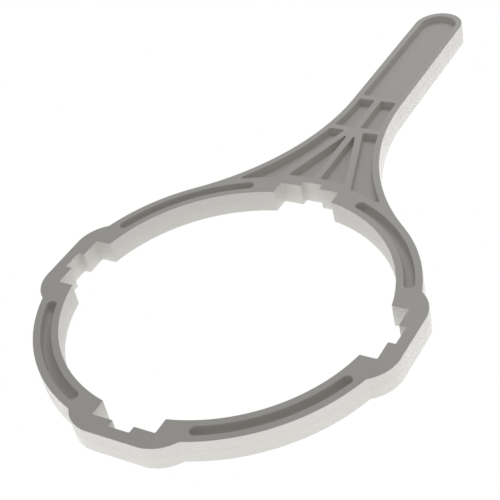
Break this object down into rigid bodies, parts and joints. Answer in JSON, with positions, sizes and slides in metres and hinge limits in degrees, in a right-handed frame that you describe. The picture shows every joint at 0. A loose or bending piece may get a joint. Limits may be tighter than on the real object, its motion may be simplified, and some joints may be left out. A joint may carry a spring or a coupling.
{
  "type": "housing ring wrench",
  "caption": "Flat one-piece moulded ring wrench with stepped notches that grip the lugs of a filter housing, and a ribbed handle.",
  "frame": {"origin": "centre of the ring opening, on the underside", "axes": "+Z along the ring axis, out of the top face; +X along the handle, towards its free end; +Y to the side, so a lobe points along +Y"},
  "size_m": [0.3535, 0.188, 0.012],
  "materials": {
    "body_plastic": "satin"
  },
  "bodies": {
    "root": {"wrench_body": "body_plastic"}
  },
  "joints": []
}
